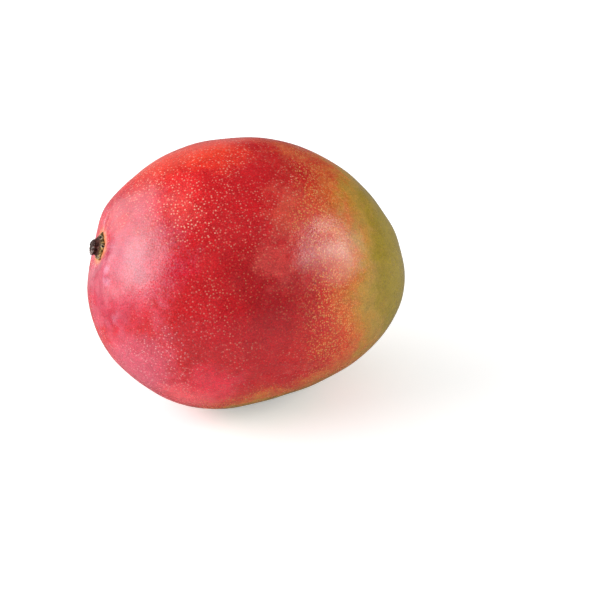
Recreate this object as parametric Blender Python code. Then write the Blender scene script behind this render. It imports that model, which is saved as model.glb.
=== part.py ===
"""A whole ripe mango with the stub of its stem, lying on its side on a small flat spot.

Two pieces: the fruit, one solid of skin and flesh, and the woody stub of the stem, whose foot
and peg sit in a shallow seat at the stem end.

Metres, +Z up. +X runs along the fruit from its stem end to its tip, and the origin is on the
ground under the middle of the object. The fruit is worked out in its own frame first: x from
stem end to tip, y from belly to back, z from cheek to cheek. An empty then lays it down.
"""

from math import radians

import bmesh
import bpy
import numpy as np
from mathutils import Matrix, Vector

MM = 0.001

# The fruit's body: an egg whose length grows towards the tip and whose depth grows to the back.
HALF_LENGTH = 62 * MM
LONGER_TO_TIP = 0.045
HALF_DEPTH = 50.8 * MM
FULLER_BACK = 0.10
HALF_THICKNESS = 47.4 * MM

# Where the stem sits: degrees from the end of the long axis, and degrees round it from the back.
STEM_TILT = 18
STEM_TURN = 5

# Swellings and hollows on the egg: degrees from the stem end, degrees round the long axis with
# 0 at the back and 180 at the belly, height in metres, and spread in degrees.
RELIEF = {
    "belly shoulder": (65, 180, 3.2 * MM, 20),
    "flattened back": (86, 0, -1.6 * MM, 16),
    "back shoulder": (30, 0, 2.0 * MM, 8),
    "stem basin": (STEM_TILT, STEM_TURN, -2.8 * MM, 8),
    "hollow before the beak": (148, 175, -0.9 * MM, 15),
    "beak": (166, 150, 0.9 * MM, 11),
}

# How the fruit lies: rolled about its long axis, then lifted at the stem end.
ROLL = 57
STEM_END_LIFT = 6
FLAT_SPOT_DEPTH = 1.2 * MM

# The mesh: rings counted from the stem to the far side, and sides round each ring.
FRUIT_RINGS = 44
FRUIT_SIDES = 60

# The stub: a peg in the flesh, a lobed foot sunk in the skin and a knob with a broken end.
PEG_LENGTH = 4.0 * MM
PEG_RADIUS = 1.7 * MM
FOOT_RADIUS = 4.6 * MM
FOOT_SINK = 0.9 * MM
FOOT_RISE = 0.5 * MM
FOOT_LOBES = 5
LOBE_SHARE = 0.09
KNOB_RADIUS = 2.9 * MM
STUB_RISE = 3.2 * MM
BROKEN_END_DEPTH = 0.5 * MM
STUB_SIDES = 40
GAP = 0.3 * MM


def own_direction(from_stem_end, round_axis):
    """Unit vector in the fruit's frame for an angle from the stem end and one round the axis."""
    polar, turn = np.radians(from_stem_end), np.radians(round_axis)
    return np.stack(
        [-np.cos(polar), np.sin(polar) * np.cos(turn), np.sin(polar) * np.sin(turn)], axis=-1
    )


def fruit_radius(directions):
    """Distance from the fruit's middle to its skin along each unit direction.

    An ellipsoid's radius, 1 over the root of the summed squares of direction over half-axis,
    plus for each item of relief its height times exp((cos(angle to it) - 1) / spread squared).
    """
    x, y, z = directions[:, 0], directions[:, 1], directions[:, 2]
    half_length = HALF_LENGTH * (1 + LONGER_TO_TIP * x)
    half_depth = HALF_DEPTH * (1 + FULLER_BACK * y)
    radius = 1 / np.sqrt((x / half_length) ** 2 + (y / half_depth) ** 2 + (z / HALF_THICKNESS) ** 2)
    for from_stem_end, round_axis, height, spread in RELIEF.values():
        nearness = directions @ own_direction(from_stem_end, round_axis) - 1
        radius += height * np.exp(nearness / np.radians(spread) ** 2)
    return radius


def fruit_points(directions):
    return directions * fruit_radius(directions)[:, None]


def directions_from_stem():
    """Unit directions on rings about the stem: its pole, then the rings, then the far pole."""
    polar = np.linspace(0, 180, FRUIT_RINGS + 2)[1:-1]
    turn = np.arange(FRUIT_SIDES) * 360 / FRUIT_SIDES
    rings = own_direction(*np.meshgrid(polar, turn, indexing="ij")).reshape(-1, 3)
    round_long_axis = np.vstack([[-1, 0, 0], rings, [1, 0, 0]])
    tilt = Matrix.Rotation(radians(-STEM_TILT), 3, "Z")
    swing = Matrix.Rotation(radians(STEM_TURN), 3, "X")
    return round_long_axis @ np.array(swing @ tilt).T


def closed_mesh(name, points, rings, sides):
    """Mesh of rings of quads closed by a fan of triangles at each end, with faces pointing out."""
    mesh = bpy.data.meshes.new(name)
    ring_starts = 1 + np.arange(rings) * sides
    step = np.arange(sides)
    following = (step + 1) % sides
    first, last = ring_starts[0], ring_starts[-1]
    end = len(points) - 1
    faces = [(0, first + b, first + a) for a, b in zip(step, following)]
    for low, high in zip(ring_starts[:-1], ring_starts[1:]):
        faces += [(low + a, low + b, high + b, high + a) for a, b in zip(step, following)]
    faces += [(end, last + a, last + b) for a, b in zip(step, following)]
    mesh.from_pydata(points.tolist(), [], [tuple(map(int, face)) for face in faces])
    shape = bmesh.new()
    shape.from_mesh(mesh)
    bmesh.ops.recalc_face_normals(shape, faces=shape.faces)
    shape.to_mesh(mesh)
    shape.free()
    return mesh


def shaded_smooth(mesh, crease):
    mesh.shade_smooth()
    mesh.set_sharp_from_angle(angle=radians(crease))


def material(name, colour, roughness):
    made = bpy.data.materials.new(name)
    made.use_nodes = True
    shader = made.node_tree.nodes["Principled BSDF"]
    shader.inputs["Base Color"].default_value = (*colour, 1)
    shader.inputs["Roughness"].default_value = roughness
    shader.inputs["Metallic"].default_value = 0
    return made


def add_object(name, mesh, parent):
    obj = bpy.data.objects.new(name, mesh)
    bpy.context.scene.collection.objects.link(obj)
    obj.parent = parent
    return obj


def make_fruit(directions, parent, ground):
    """The fruit, cut flat where it rests: ground is the height of that cut in the lying pose."""
    mesh = closed_mesh("fruit", fruit_points(directions), FRUIT_RINGS, FRUIT_SIDES)
    up = lying_turn().transposed() @ Vector((0, 0, 1))
    shape = bmesh.new()
    shape.from_mesh(mesh)
    cut = bmesh.ops.bisect_plane(
        shape,
        geom=shape.verts[:] + shape.edges[:] + shape.faces[:],
        plane_co=up * ground,
        plane_no=up,
        clear_inner=True,
    )
    rim = [item for item in cut["geom_cut"] if isinstance(item, bmesh.types.BMEdge)]
    bmesh.ops.contextual_create(shape, geom=rim)
    bmesh.ops.recalc_face_normals(shape, faces=shape.faces)
    shape.to_mesh(mesh)
    shape.free()
    shaded_smooth(mesh, 25)
    fruit = add_object("fruit", mesh, parent)
    fruit.data.materials.append(material("mango_skin", (0.52, 0.03, 0.03), 0.38))
    return fruit


def lying_turn():
    """The turn from the fruit's own frame to the lying pose: the roll, then the lift."""
    return Matrix.Rotation(radians(STEM_END_LIFT), 3, "Y") @ Matrix.Rotation(radians(ROLL), 3, "X")


def stem_seat():
    """Matrix, in the fruit's frame, of the stub's foot: +Z along the skin's outward normal."""
    small = 0.5
    tilt = STEM_TILT + small * np.array([0, 1, -1, 0, 0])
    side = STEM_TURN + small * np.array([0, 0, 0, 1, -1]) / np.sin(np.radians(STEM_TILT))
    middle, back, front, left, right = map(Vector, fruit_points(own_direction(tilt, side)))
    along = (back - front).normalized()
    outward = along.cross(left - right).normalized()
    if outward.dot(middle) < 0:
        outward.negate()
    across = outward.cross(along)
    turn = Matrix((along, across, outward)).transposed()
    return Matrix.LocRotScale(middle, turn, None)


def turned_stub(name, profile, lobe_share):
    """Closed mesh turned about Z from (height, radius, lobe weight) rows, lowest first."""
    turn = np.radians(np.arange(STUB_SIDES) * 360 / STUB_SIDES)
    height, radius, weight = np.array(profile[1:-1]).T
    lobes = 1 + lobe_share * weight[:, None] * np.cos(FOOT_LOBES * turn)
    reach = radius[:, None] * lobes
    level = np.broadcast_to(height[:, None], reach.shape)
    rings = np.stack([reach * np.cos(turn), reach * np.sin(turn), level], axis=-1)
    points = np.vstack([[0, 0, profile[0][0]], rings.reshape(-1, 3), [0, 0, profile[-1][0]]])
    return closed_mesh(name, points, len(height), STUB_SIDES)


def stub_profile():
    """The stub from the peg's tip to the middle of its broken end."""
    return [
        (-PEG_LENGTH, 0, 0),
        (-PEG_LENGTH, 0.75 * PEG_RADIUS, 0),
        (-0.9 * PEG_LENGTH, PEG_RADIUS, 0),
        (-FOOT_SINK - 0.5 * MM, 1.15 * PEG_RADIUS, 0),
        (-FOOT_SINK, 0.8 * FOOT_RADIUS, 0.6),
        (-0.5 * FOOT_SINK, 0.97 * FOOT_RADIUS, 1),
        (0, FOOT_RADIUS, 1),
        (FOOT_RISE, 0.85 * FOOT_RADIUS, 1),
        (0.30 * STUB_RISE, 0.98 * KNOB_RADIUS, 0.4),
        (0.55 * STUB_RISE, 0.94 * KNOB_RADIUS, 0.2),
        (0.80 * STUB_RISE, KNOB_RADIUS, 0.2),
        (0.96 * STUB_RISE, 0.92 * KNOB_RADIUS, 0.2),
        (STUB_RISE, 0.75 * KNOB_RADIUS, 0.1),
        (STUB_RISE - 0.8 * BROKEN_END_DEPTH, 0.45 * KNOB_RADIUS, 0),
        (STUB_RISE - BROKEN_END_DEPTH, 0, 0),
    ]


def seat_profile():
    """The stub's peg and foot with the gap all round, run out past the skin to cut it open."""
    return [
        (-PEG_LENGTH - GAP, 0, 0),
        (-PEG_LENGTH - GAP, 1.15 * PEG_RADIUS + GAP, 0),
        (-FOOT_SINK - 0.5 * MM - GAP, 1.25 * PEG_RADIUS + GAP, 0),
        (-FOOT_SINK - GAP, 0.9 * FOOT_RADIUS + GAP, 1),
        (0, FOOT_RADIUS + GAP, 1),
        (2 * STUB_RISE, FOOT_RADIUS + GAP, 1),
        (2 * STUB_RISE, 0, 0),
    ]


def make_stub(parent, seat):
    mesh = turned_stub("stem_stub", stub_profile(), LOBE_SHARE)
    shaded_smooth(mesh, 40)
    stub = add_object("stem_stub", mesh, parent)
    stub.matrix_local = seat
    stub.data.materials.append(material("stem_bark", (0.06, 0.032, 0.016), 0.85))
    return stub


def cut_seat(fruit, parent, seat):
    """Cuts the seat of the stub into the fruit."""
    cutter = add_object("seat_cutter", turned_stub("seat_cutter", seat_profile(), LOBE_SHARE), parent)
    cutter.matrix_local = seat
    cutter.hide_render = True
    cutter.display_type = "WIRE"
    socket = fruit.modifiers.new("stem seat", "BOOLEAN")
    socket.operation = "DIFFERENCE"
    socket.solver = "EXACT"
    socket.object = cutter


def lying_place(points, stub, seat):
    """Height of the ground in the lying pose, and the shift that puts the origin under the middle."""
    turn = np.array(lying_turn())
    fruit_lying = points @ turn.T
    ground = fruit_lying[:, 2].min() + FLAT_SPOT_DEPTH
    stub_lying = np.array([turn @ (seat @ corner.co) for corner in stub.data.vertices])
    everything = np.vstack([fruit_lying, stub_lying])
    middle = (everything.min(axis=0) + everything.max(axis=0)) / 2
    return ground, Vector((-middle[0], -middle[1], -ground))


def main():
    for old in list(bpy.data.objects):
        bpy.data.objects.remove(old, do_unlink=True)
    pose = add_object("mango", None, None)
    directions = directions_from_stem()
    seat = stem_seat()
    stub = make_stub(pose, seat)
    ground, shift = lying_place(fruit_points(directions), stub, seat)
    fruit = make_fruit(directions, pose, ground)
    cut_seat(fruit, pose, seat)
    pose.matrix_world = Matrix.LocRotScale(shift, lying_turn(), None)


main()
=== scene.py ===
# %% [markdown]
# # A ripe mango, finished
#
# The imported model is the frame: two solids, the fruit and the stub of its stem, in metres with
# +Z up. They have the right size and place but plain faceted skins. This lesson builds the
# surfaces that are seen: a fine mesh for the fruit with its dimples and folds, a stub of bark,
# and procedural materials for both. Every size comes from the same few driving dimensions as
# the solids, and the box of the fruit's node gives the place of both pieces.

# %% Load the frame and keep its size
from types import SimpleNamespace

import bpy
import numpy as np
from mathutils import Matrix, Vector


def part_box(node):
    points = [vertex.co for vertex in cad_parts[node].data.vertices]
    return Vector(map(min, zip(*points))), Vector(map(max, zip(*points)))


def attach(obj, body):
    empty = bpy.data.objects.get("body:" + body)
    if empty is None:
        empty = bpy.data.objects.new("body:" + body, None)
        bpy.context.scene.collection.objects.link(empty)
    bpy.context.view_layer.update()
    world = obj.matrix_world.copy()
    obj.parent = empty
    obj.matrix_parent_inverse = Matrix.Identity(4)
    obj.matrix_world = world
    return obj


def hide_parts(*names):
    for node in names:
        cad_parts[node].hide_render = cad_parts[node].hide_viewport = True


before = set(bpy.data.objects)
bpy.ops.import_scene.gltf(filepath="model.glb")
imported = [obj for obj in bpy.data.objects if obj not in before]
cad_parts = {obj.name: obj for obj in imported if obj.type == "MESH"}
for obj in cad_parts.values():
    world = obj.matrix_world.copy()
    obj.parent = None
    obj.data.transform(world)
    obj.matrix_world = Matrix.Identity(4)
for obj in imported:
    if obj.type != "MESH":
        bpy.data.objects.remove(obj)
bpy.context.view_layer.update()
MM = 0.001

# %% [markdown]
# ## The shape of the fruit
#
# A mango is an egg with a full back, a belly that swells near the stem and goes slightly hollow
# before the tip, and a basin round the stem. It could be sculpted or lofted from outlines. Here
# it is a distance from the middle for each direction, because then one short formula gives any
# number of points, and each swelling is one line that can be read and changed.

# %% The fruit's own frame: x from stem end to tip, y from belly to back, z from cheek to cheek
HALF_LENGTH = 62 * MM
LONGER_TO_TIP = 0.045
HALF_DEPTH = 50.8 * MM
FULLER_BACK = 0.10
HALF_THICKNESS = 47.4 * MM
STEM_TILT = 18
STEM_TURN = 5

# Degrees from the stem end, degrees round the long axis from the back, height, spread in degrees.
RELIEF = {
    "belly shoulder": (65, 180, 3.2 * MM, 20),
    "flattened back": (86, 0, -1.6 * MM, 16),
    "back shoulder": (30, 0, 2.0 * MM, 8),
    "stem basin": (STEM_TILT, STEM_TURN, -2.8 * MM, 8),
    "hollow before the beak": (148, 175, -0.9 * MM, 15),
    "beak": (166, 150, 0.9 * MM, 11),
}


def own_direction(from_stem_end, round_axis):
    """Unit vectors: -cos(a) along the fruit, sin(a) cos(b) to the back, sin(a) sin(b) to a cheek."""
    polar, turn = np.radians(from_stem_end), np.radians(round_axis)
    return np.stack(
        [-np.cos(polar), np.sin(polar) * np.cos(turn), np.sin(polar) * np.sin(turn)], axis=-1
    )


def egg_radius(directions):
    """Distance from the middle to the skin.

    An ellipsoid, 1 over the root of the summed squares of direction over half-axis, plus for
    each item of relief its height times exp((cos(angle to it) - 1) / spread squared).
    """
    x, y, z = directions[..., 0], directions[..., 1], directions[..., 2]
    half_length = HALF_LENGTH * (1 + LONGER_TO_TIP * x)
    half_depth = HALF_DEPTH * (1 + FULLER_BACK * y)
    radius = 1 / np.sqrt((x / half_length) ** 2 + (y / half_depth) ** 2 + (z / HALF_THICKNESS) ** 2)
    for from_stem_end, round_axis, height, spread in RELIEF.values():
        nearness = directions @ own_direction(from_stem_end, round_axis) - 1
        radius = radius + height * np.exp(nearness / np.radians(spread) ** 2)
    return radius


# %% [markdown]
# ## From the fruit's frame to the table
#
# The fruit lies rolled on its side with the stem end lifted, and rests where its weight has
# pressed a small flat spot. The same turn as the solid's is applied to the points themselves,
# so the finished object sits at the origin, unturned. Its place is read from the frame: the
# middle of the fruit is where the high corners of the formula's box and of the node's box agree.
# At the low side only the height differs, by the depth of the flat spot.

# %% The lying turn, and the middle of the fruit read from its node's box
ROLL = 57
STEM_END_LIFT = 6
FRUIT_RINGS = 282
FRUIT_SIDES = 350
RING_CROWDING = 1.35

lifted = Matrix.Rotation(np.radians(STEM_END_LIFT), 3, "Y")
rolled = Matrix.Rotation(np.radians(ROLL), 3, "X")
lying_turn = lifted @ rolled
turn_array = np.array(lying_turn)


def directions_from_stem(rings, sides, crowding):
    """Unit directions of a grid round the stem, with its two poles as first and last.

    Ring number k of n lies 180 (k/n)^crowding degrees from the stem, so that the rings crowd
    together where the skin has its finest folds.
    """
    polar = 180 * np.linspace(0, 1, rings + 2)[1:-1] ** crowding
    turn = np.arange(sides) * 360 / sides
    grid = own_direction(*np.meshgrid(polar, turn, indexing="ij")).reshape(-1, 3)
    round_long_axis = np.vstack([[-1, 0, 0], grid, [1, 0, 0]])
    tilt = Matrix.Rotation(np.radians(-STEM_TILT), 3, "Z")
    swing = Matrix.Rotation(np.radians(STEM_TURN), 3, "X")
    return round_long_axis @ np.array(swing @ tilt).T


directions = directions_from_stem(FRUIT_RINGS, FRUIT_SIDES, RING_CROWDING)
plain_radius = egg_radius(directions)
plain_fruit = (directions * plain_radius[:, None]) @ turn_array.T
node_low, node_high = map(np.array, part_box("fruit"))
fruit_middle = node_high - plain_fruit.max(axis=0)
floor_height = node_low[2]
print("middle of the fruit in mm:", np.round(1000 * fruit_middle, 2))
left_over = plain_fruit.min(axis=0) + fruit_middle - node_low
print("left over at the low side in mm:", np.round(1000 * left_over, 2))

# %% [markdown]
# ## The seat of the stem
#
# The stub stands square on the skin at the bottom of the stem basin. Its own frame has one axis
# out of the skin, one up the skin and one towards the near side, found from four points of the
# skin round the seat, so it stays right if the fruit's shape is changed.

# %% The stem's frame, and how high the skin stands above its seat
SEAT_STEP_DEGREES = 0.5


def skin_points(unit_directions):
    """Points of the plain skin in the lying pose, for directions in the fruit's own frame."""
    own = unit_directions * egg_radius(unit_directions)[..., None]
    return own @ turn_array.T + fruit_middle


def stem_frame():
    """Place of the seat, and unit vectors up the skin, to the near side and out of the skin."""
    tilts = STEM_TILT + SEAT_STEP_DEGREES * np.array([0, 1, -1, 0, 0])
    sideways = SEAT_STEP_DEGREES / np.sin(np.radians(STEM_TILT))
    turns = STEM_TURN + sideways * np.array([0, 0, 0, 1, -1])
    middle, back, front, left, right = skin_points(own_direction(tilts, turns))
    outward = np.cross(back - front, left - right)
    outward /= np.linalg.norm(outward) * np.sign(outward @ (middle - fruit_middle))
    near = np.cross(outward, [0, 0, 1])
    near /= np.linalg.norm(near) * -np.sign(near[1])
    up = np.cross(outward, near)
    return middle, up * np.sign(up[2]), near, outward


seat, seat_up, seat_near, seat_out = stem_frame()
print("seat of the stem in mm:", np.round(1000 * seat, 1), "facing", np.round(seat_out, 2))


def skin_height(up, near):
    """Height of the plain skin above the seat's plane, at distances up and to the near side."""
    below = (seat + up[..., None] * seat_up + near[..., None] * seat_near - fruit_middle) @ turn_array
    unit = below / np.linalg.norm(below, axis=-1, keepdims=True)
    return (skin_points(unit) - seat) @ seat_out


# %% [markdown]
# ## Fine relief of the skin
#
# Ripe skin is never quite even. Broad shallow waves bend the highlights, the skin stands up in a
# thin lip round the stem and puckers beyond it, soft furrows run down from the stem and over the
# shoulder, and there is one shallow crease where the fruit pressed on a neighbour. A bump map
# could fake these, but they are real geometry here, because they show in the outline too. Only
# the lip by the stem rises. All else lowers the skin, so the fruit stays inside its frame.

# %% Waves, puckers, furrows
WAVE_SEED = 7
WAVE_COUNT = 26
WAVE_HEIGHT = 0.055 * MM
SHORTEST_WAVE = 11 * MM
LONGEST_WAVE = 42 * MM
LIP_RADIUS = 5.3 * MM
LIP_WIDTH = 1.0 * MM
LIP_HEIGHT = 0.22 * MM
PUCKER_RADIUS = 8 * MM
PUCKER_WIDTH = 3.5 * MM
PUCKER_DEPTH = 0.10 * MM
# Start and end in degrees from the stem end and round the long axis, width in degrees, depth.
FURROWS = {
    "below the stem": ((9.5, 60), (19, 88), 2.6, 0.22 * MM),
    "beside the stem": ((12, 130), (24, 138), 3.0, 0.14 * MM),
    "pressed crease": ((33, 128), (43, 139), 1.1, 0.12 * MM),
    "shoulder fold": ((30, 40), (47, 30), 2.2, 0.08 * MM),
}


def waves(points):
    """Sum of plane waves: height times sin(2 pi (direction . point / length) + phase) for each.

    Directions, lengths and phases are drawn at random, and a wave's height is WAVE_HEIGHT times
    (length / LONGEST_WAVE)^0.7, so that short waves are low.
    """
    draw = np.random.default_rng(WAVE_SEED)
    toward = draw.normal(size=(WAVE_COUNT, 3))
    toward /= np.linalg.norm(toward, axis=1, keepdims=True)
    lengths = SHORTEST_WAVE * (LONGEST_WAVE / SHORTEST_WAVE) ** draw.random(WAVE_COUNT)
    phases = 2 * np.pi * draw.random(WAVE_COUNT)
    heights = WAVE_HEIGHT * (lengths / LONGEST_WAVE) ** 0.7
    return np.sin(2 * np.pi * points @ (toward / lengths[:, None]).T + phases) @ heights


def furrow(unit_directions, start, end, width, depth):
    """A groove from start to end: -depth exp(-(distance / width)^2), with angles in degrees."""
    first = own_direction(*start)
    chord = own_direction(*end) - first
    share = np.clip((unit_directions - first) @ chord / (chord @ chord), 0, 1)
    nearest = first + share[:, None] * chord
    distance = np.degrees(np.linalg.norm(unit_directions - nearest, axis=1))
    return -depth * np.exp(-((distance / width) ** 2))


def stem_puckers(points):
    """A lip round the stem, and shallow puckers that run out from it.

    Each is a sum of cosines of the turn round the stem, times exp(-((reach - radius) / width)^2).
    """
    offset = points - seat
    up, near = offset @ seat_up, offset @ seat_near
    reach, turn = np.hypot(up, near), np.arctan2(near, up)
    scallop = 1 + 0.35 * np.cos(5 * turn + 0.4) + 0.2 * np.cos(9 * turn + 2)
    lip = LIP_HEIGHT * scallop * np.exp(-(((reach - LIP_RADIUS) / LIP_WIDTH) ** 2))
    folds = np.cos(11 * turn + 2 * np.sin(2 * turn)) + 0.6 * np.cos(17 * turn + 1) - 1.6
    pucker = PUCKER_DEPTH * folds * np.exp(-(((reach - PUCKER_RADIUS) / PUCKER_WIDTH) ** 2))
    same_side = (offset @ seat_out) > -15 * MM
    return (lip + pucker) * same_side


relief = waves(directions * plain_radius[:, None])
relief -= relief.max()
for start, end, width, depth in FURROWS.values():
    relief += furrow(directions, start, end, width, depth)
relief += stem_puckers(plain_fruit + fruit_middle)
print("relief from", round(1000 * relief.min(), 2), "to", round(1000 * relief.max(), 2), "mm")

# %% A closed mesh from rings of points


def signed_volume(mesh):
    """A sixth of the sum of a . (b x c) over the triangles: positive when the faces point out."""
    mesh.calc_loop_triangles()
    corners = np.empty(len(mesh.loop_triangles) * 3, np.int32)
    mesh.loop_triangles.foreach_get("vertices", corners)
    places = np.empty(len(mesh.vertices) * 3, np.float32)
    mesh.vertices.foreach_get("co", places)
    a, b, c = places.reshape(-1, 3)[corners].reshape(-1, 3, 3).transpose(1, 0, 2).astype(float)
    return np.einsum("ij,ij->i", a, np.cross(b, c)).sum() / 6


def closed_mesh(name, points, rings, sides):
    """A mesh object from a pole, rings of points and a far pole: fans at the ends, quads between."""
    ring = (1 + np.arange(rings) * sides)[:, None]
    here = np.arange(sides)[None, :]
    beside = (here + 1) % sides
    low, high = ring[:-1], ring[1:]
    quads = np.stack([low + here, low + beside, high + beside, high + here], axis=-1).reshape(-1, 4)
    far_pole = len(points) - 1
    first = np.stack([np.zeros(sides, int), 1 + beside[0], 1 + here[0]], axis=-1)
    last_ring = ring[-1, 0]
    last = np.stack([np.full(sides, far_pole), last_ring + here[0], last_ring + beside[0]], axis=-1)
    faces = [tuple(face) for group in (first, quads, last) for face in group.tolist()]
    mesh = bpy.data.meshes.new(name)
    mesh.from_pydata(points.tolist(), [], faces)
    if signed_volume(mesh) < 0:
        mesh.flip_normals()
    mesh.shade_smooth()
    made = bpy.data.objects.new(name, mesh)
    bpy.context.scene.collection.objects.link(made)
    print(name, len(mesh.polygons), "faces,", round(signed_volume(mesh) * 1e6, 2), "cm3")
    return made


# %% The fruit
points = (directions * (plain_radius + relief)[:, None]) @ turn_array.T + fruit_middle
points[:, 2] = np.maximum(points[:, 2], floor_height)
fruit = closed_mesh("mango_fruit", points, FRUIT_RINGS, FRUIT_SIDES)
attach(fruit, "root")
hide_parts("fruit")

# %% [markdown]
# ## The stub of the stem
#
# What is left of the stem is a barrel of bark that broke across, standing on a lobed corky foot
# grown onto the skin. The foot has little pits where the sap dried. Sculpting would do for a
# piece this small, but here it is a profile turned round the stem's axis, then pushed in and
# out: lobes and points on the foot, ridges and rings on the bark, a ragged rim round a sunken
# end, and pits with raised edges. Each is a term that can be changed by itself.

# %% The stub's profile and its irregularities
STUB_RINGS = 150
STUB_SIDES = 200
# Distance from the axis and height above the skin, from under the skin to the middle of the end.
STUB_PROFILE = MM * np.array([
    (0, -1.6), (2.8, -1.6), (4.0, -0.9), (4.4, -0.2), (4.35, 0.15), (4.05, 0.5),
    (3.65, 0.82), (3.2, 1.1), (2.95, 1.4), (2.98, 1.8), (3.05, 2.25), (2.95, 2.7),
    (2.6, 3.05), (2.2, 3.15), (1.8, 3.0), (1.3, 2.85), (0.7, 2.8), (0, 2.78),
])
# Where the cork of the foot turns into bark, in height, and the end into wall, in radius.
FOOT_TO_BARK = (0.5 * MM, 1.6 * MM)
END_TO_WALL = (1.2 * MM, 2.6 * MM)
KNOB_DROP = 0.75 * MM
KNOB_FLATTENING = 0.07
# Degrees round the stem from straight up, how far the foot reaches out there, and over what turn.
FOOT_POINTS = [(354, 0.22, 0.16), (55, 0.22, 0.40), (113, 0.42, 0.36), (150, 0.04, 0.20)]
# Degrees round the stem from straight up, then distance from the axis, radius and depth in mm,
# and how many times wider than high the pit is.
PITS = [
    (4, 3.85, 0.60, 0.60, 1.6),
    (62, 5.10, 0.50, 0.60, 1.5),
    (113, 5.30, 0.40, 0.45, 1.4),
    (140, 3.90, 0.30, 0.30, 1.2),
    (250, 3.60, 0.55, 0.50, 1.0),
    (310, 3.40, 0.45, 0.40, 1.0),
]
PIT_EDGE_WIDTH = 0.22 * MM
PIT_EDGE_HEIGHT = 0.18 * MM
PROFILE_EASINGS = 10


def even_profile(corners, count):
    """The profile at even lengths along it, its corners eased by averaging with their neighbours."""
    lengths = np.concatenate([[0], np.cumsum(np.linalg.norm(np.diff(corners, axis=0), axis=1))])
    steps = np.linspace(0, lengths[-1], count)
    radius, height = (np.interp(steps, lengths, column) for column in corners.T)
    for _ in range(PROFILE_EASINGS):
        radius[1:-1] = (radius[:-2] + 2 * radius[1:-1] + radius[2:]) / 4
        height[1:-1] = (height[:-2] + 2 * height[1:-1] + height[2:]) / 4
    return radius, height


def wobble(turn, seed, orders, height):
    """An uneven ring: the sum of height / order^0.6 times cos(order turn + phase)."""
    phases = 2 * np.pi * np.random.default_rng(seed).random(len(orders))
    terms = zip(orders, phases)
    return sum(height / order**0.6 * np.cos(order * turn + phase) for order, phase in terms)


def swell(value, low, high):
    """0 below low, 1 above high, and 3t^2 - 2t^3 between."""
    t = np.clip((value - low) / (high - low), 0, 1)
    return t * t * (3 - 2 * t)


def foot_points(turn):
    """The foot's points: for each, its reach times exp(-(turn away from it / its width)^2)."""
    total = 0
    for bearing, share, width in FOOT_POINTS:
        away = np.angle(np.exp(1j * (turn - np.radians(bearing))))
        total = total + share * np.exp(-((away / width) ** 2))
    return total


# %% How far out and how high the stub's surface is


def stub_reach(turn, radius, height):
    """Distance from the axis: the profile's radius times 1 plus wobbles round the axis.

    On the foot these are lobes and points, and on the bark ridges that twist a little with
    height, and fine rings, sin(height / 0.13 mm).
    """
    on_bark = swell(height, *FOOT_TO_BARK)
    lobes = 0.075 * np.cos(5 * turn + 0.5) + wobble(turn, 3, (2, 3, 7, 9, 13), 0.035)
    lobes = lobes + foot_points(turn) * swell(radius, 3 * MM, 4.4 * MM)
    ridges = wobble(turn, 11, (2, 3, 5, 8, 13, 17, 23, 31), 0.032)
    ridges = ridges + 0.02 * np.cos(14 * turn + height / (0.5 * MM))
    rings = 0.02 * np.sin(height / (0.13 * MM) + wobble(turn, 5, (2, 3, 5), 1.2))
    reach = radius * (1 + (1 - on_bark) * lobes)
    return reach * (1 + on_bark * swell(radius, *END_TO_WALL) * (ridges + rings))


def stub_level(turn, radius, height):
    """Height over the skin: the profile's, plus a ragged rim and a grained end, less foot dimples."""
    on_bark = swell(height, *FOOT_TO_BARK)
    ragged = wobble(turn, 21, (1, 2, 3, 5, 7, 11, 17, 29), 0.16 * MM)
    ragged = ragged * swell(height, 2.2 * MM, 3.2 * MM) * swell(radius, 0.8 * MM, 2.4 * MM)
    grain = 0.10 * MM * np.cos(6 * turn + radius / (0.25 * MM))
    grain = grain * on_bark * (1 - swell(radius, *END_TO_WALL))
    dimples = np.abs(wobble(turn, 8, (6, 11, 19), 0.16 * MM))
    dimples = dimples * (1 - on_bark) * swell(radius, 3 * MM, 3.6 * MM)
    return height + ragged + grain - dimples


def sap_pits(up, near, on_cork):
    """Height added by the pits, and how far each point is in a pit or on its edge, 0 to 1.

    A pit is -depth exp(-(away / (0.75 size))^2), and its edge a ring of height
    exp(-((away - size) / edge width)^2).
    """
    added, in_pit, on_edge = np.zeros_like(up), np.zeros_like(up), np.zeros_like(up)
    for bearing, distance, size, depth, width in PITS:
        middle = distance * MM * np.array([np.cos(np.radians(bearing)), np.sin(np.radians(bearing))])
        away = np.hypot(up - middle[0], (near - middle[1]) / width)
        hollow = np.exp(-((away / (0.75 * size * MM)) ** 2)) * on_cork
        edge = np.exp(-(((away - size * MM) / PIT_EDGE_WIDTH) ** 2)) * on_cork
        added += PIT_EDGE_HEIGHT * edge - depth * MM * hollow
        in_pit, on_edge = np.maximum(in_pit, hollow), np.maximum(on_edge, edge)
    return added, in_pit, on_edge


# %% The stub


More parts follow.
